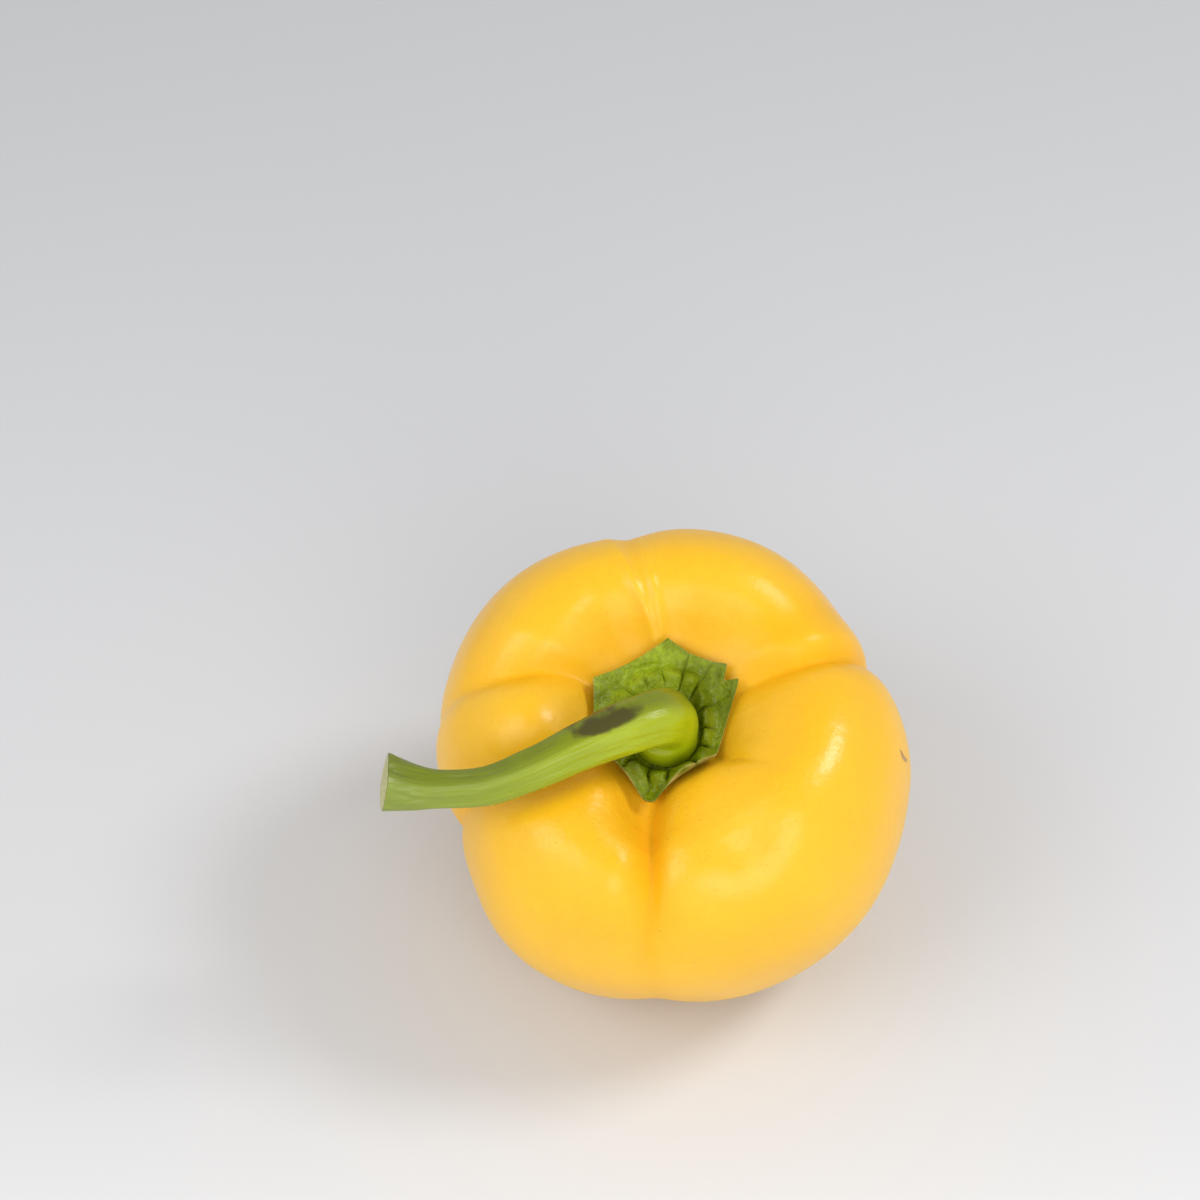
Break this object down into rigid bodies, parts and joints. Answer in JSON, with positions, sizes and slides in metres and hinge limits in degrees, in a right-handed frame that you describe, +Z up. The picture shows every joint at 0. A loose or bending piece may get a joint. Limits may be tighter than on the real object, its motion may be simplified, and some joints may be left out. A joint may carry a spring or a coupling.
{
  "type": "bell pepper",
  "caption": "Whole yellow bell pepper resting on its lobes, leaning forward, with a green star-shaped calyx and a bent, ribbed stem with a flared cut end.",
  "frame": {"origin": "on the surface that the pepper rests on, under the middle of its bounding box", "axes": "+Z up, away from that surface; the stem's free end points towards -X; the fruit's axis leans 20 degrees from +Z towards -Y"},
  "size_m": [0.099, 0.0908, 0.0791],
  "materials": {
    "skin": "waxy yellow skin with a soft gloss, warmer in the creases",
    "calyx": "leafy green, crinkled, satin",
    "stem": "light green, ribbed, satin, with a brown bruise and a pale cut face"
  },
  "bodies": {
    "root": {"fruit": "skin", "calyx": "calyx", "stem": "stem"}
  },
  "joints": []
}
